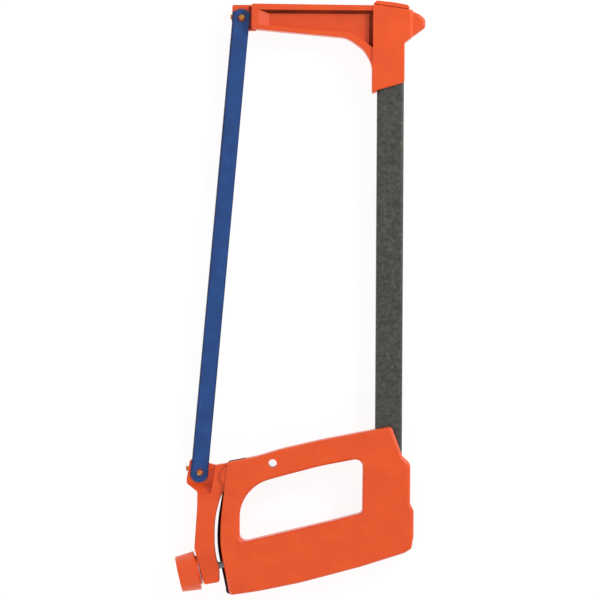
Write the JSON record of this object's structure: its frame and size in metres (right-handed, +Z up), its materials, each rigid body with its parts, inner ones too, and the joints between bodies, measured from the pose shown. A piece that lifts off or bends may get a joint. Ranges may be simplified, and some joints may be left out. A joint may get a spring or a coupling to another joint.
{
  "type": "hacksaw",
  "caption": "High-tension hacksaw: a blade stretched between a cast front arm and a lever on the handle, with a tubular steel spine and a tension knob.",
  "frame": {"origin": "middle of the bounding box's bottom: the saw lies on its side, on the handle's back face", "axes": "+Y along the spine from handle to front arm, +X from the blade towards the spine, +Z up, across the saw's thickness"},
  "size_m": [0.1624, 0.3902, 0.026],
  "materials": {
    "orange_coat": "semi-gloss powder coat",
    "spine_coat": "dark grey hammered coat",
    "blade_blue": "blue lacquer over steel",
    "pin_brass": "yellow-passivated steel pins",
    "zinc": "zinc plated",
    "knob_plastic": "moulded",
    "cap_plastic": "moulded"
  },
  "bodies": {
    "frame": {"spine_tube": "spine_coat", "front_casting": "orange_coat", "casting_rivets": "zinc", "front_blade_pin": "pin_brass", "front_side_pin": "pin_brass", "handle_shell_left": "orange_coat", "handle_shell_right": "orange_coat", "handle_screws": "zinc", "lever_pivot_pin": "zinc", "pivot_washers": "zinc"},
    "lever": {"tension_lever": "orange_coat", "rear_blade_pin": "pin_brass", "rear_side_pin": "pin_brass"},
    "nut": {"trunnion_nut": "zinc"},
    "washer": {"thrust_washer": "zinc"},
    "knob": {"tension_knob": "knob_plastic", "tension_screw": "zinc", "knob_cap": "knob_plastic"},
    "blade": {"hacksaw_blade": "blade_blue"},
    "cap": {"tube_cap": "cap_plastic"}
  },
  "joints": [
    {"name": "knob_spin", "type": "hinge", "parent": "washer", "child": "knob", "pos_m": [-0.05003, -0.17585, 0.013], "axis": [-0.9744, -0.225, 0], "range_deg": [0, 1101.6]},
    {"name": "screw_feed", "type": "slide", "parent": "nut", "child": "washer", "axis": [-0.9744, -0.225, 0], "range_m": [0, 0.0024]},
    {"name": "nut_tilt", "type": "hinge", "parent": "frame", "child": "nut", "pos_m": [-0.03805, -0.17308, 0.013], "axis": [0, 0, -1], "range_deg": [0, 3.02]},
    {"name": "lever_swing", "type": "hinge", "parent": "frame", "child": "lever", "pos_m": [-0.04503, -0.11695, 0.013], "axis": [0, 0, -1], "range_deg": [0, 2.49]},
    {"name": "blade_lift", "type": "slide", "parent": "frame", "child": "blade", "axis": [0, 0, 1], "range_m": [0, 0.012]},
    {"name": "cap_pull", "type": "slide", "parent": "frame", "child": "cap", "axis": [0, 1, 0], "range_m": [0, 0.02]}
  ],
  "couplings": [
    {"joint": "knob_spin", "follows": "screw_feed", "rad_per_m": 7854},
    {"joint": "nut_tilt", "follows": "screw_feed", "rad_per_m": 21.563},
    {"joint": "lever_swing", "follows": "screw_feed", "rad_per_m": 17.773}
  ]
}
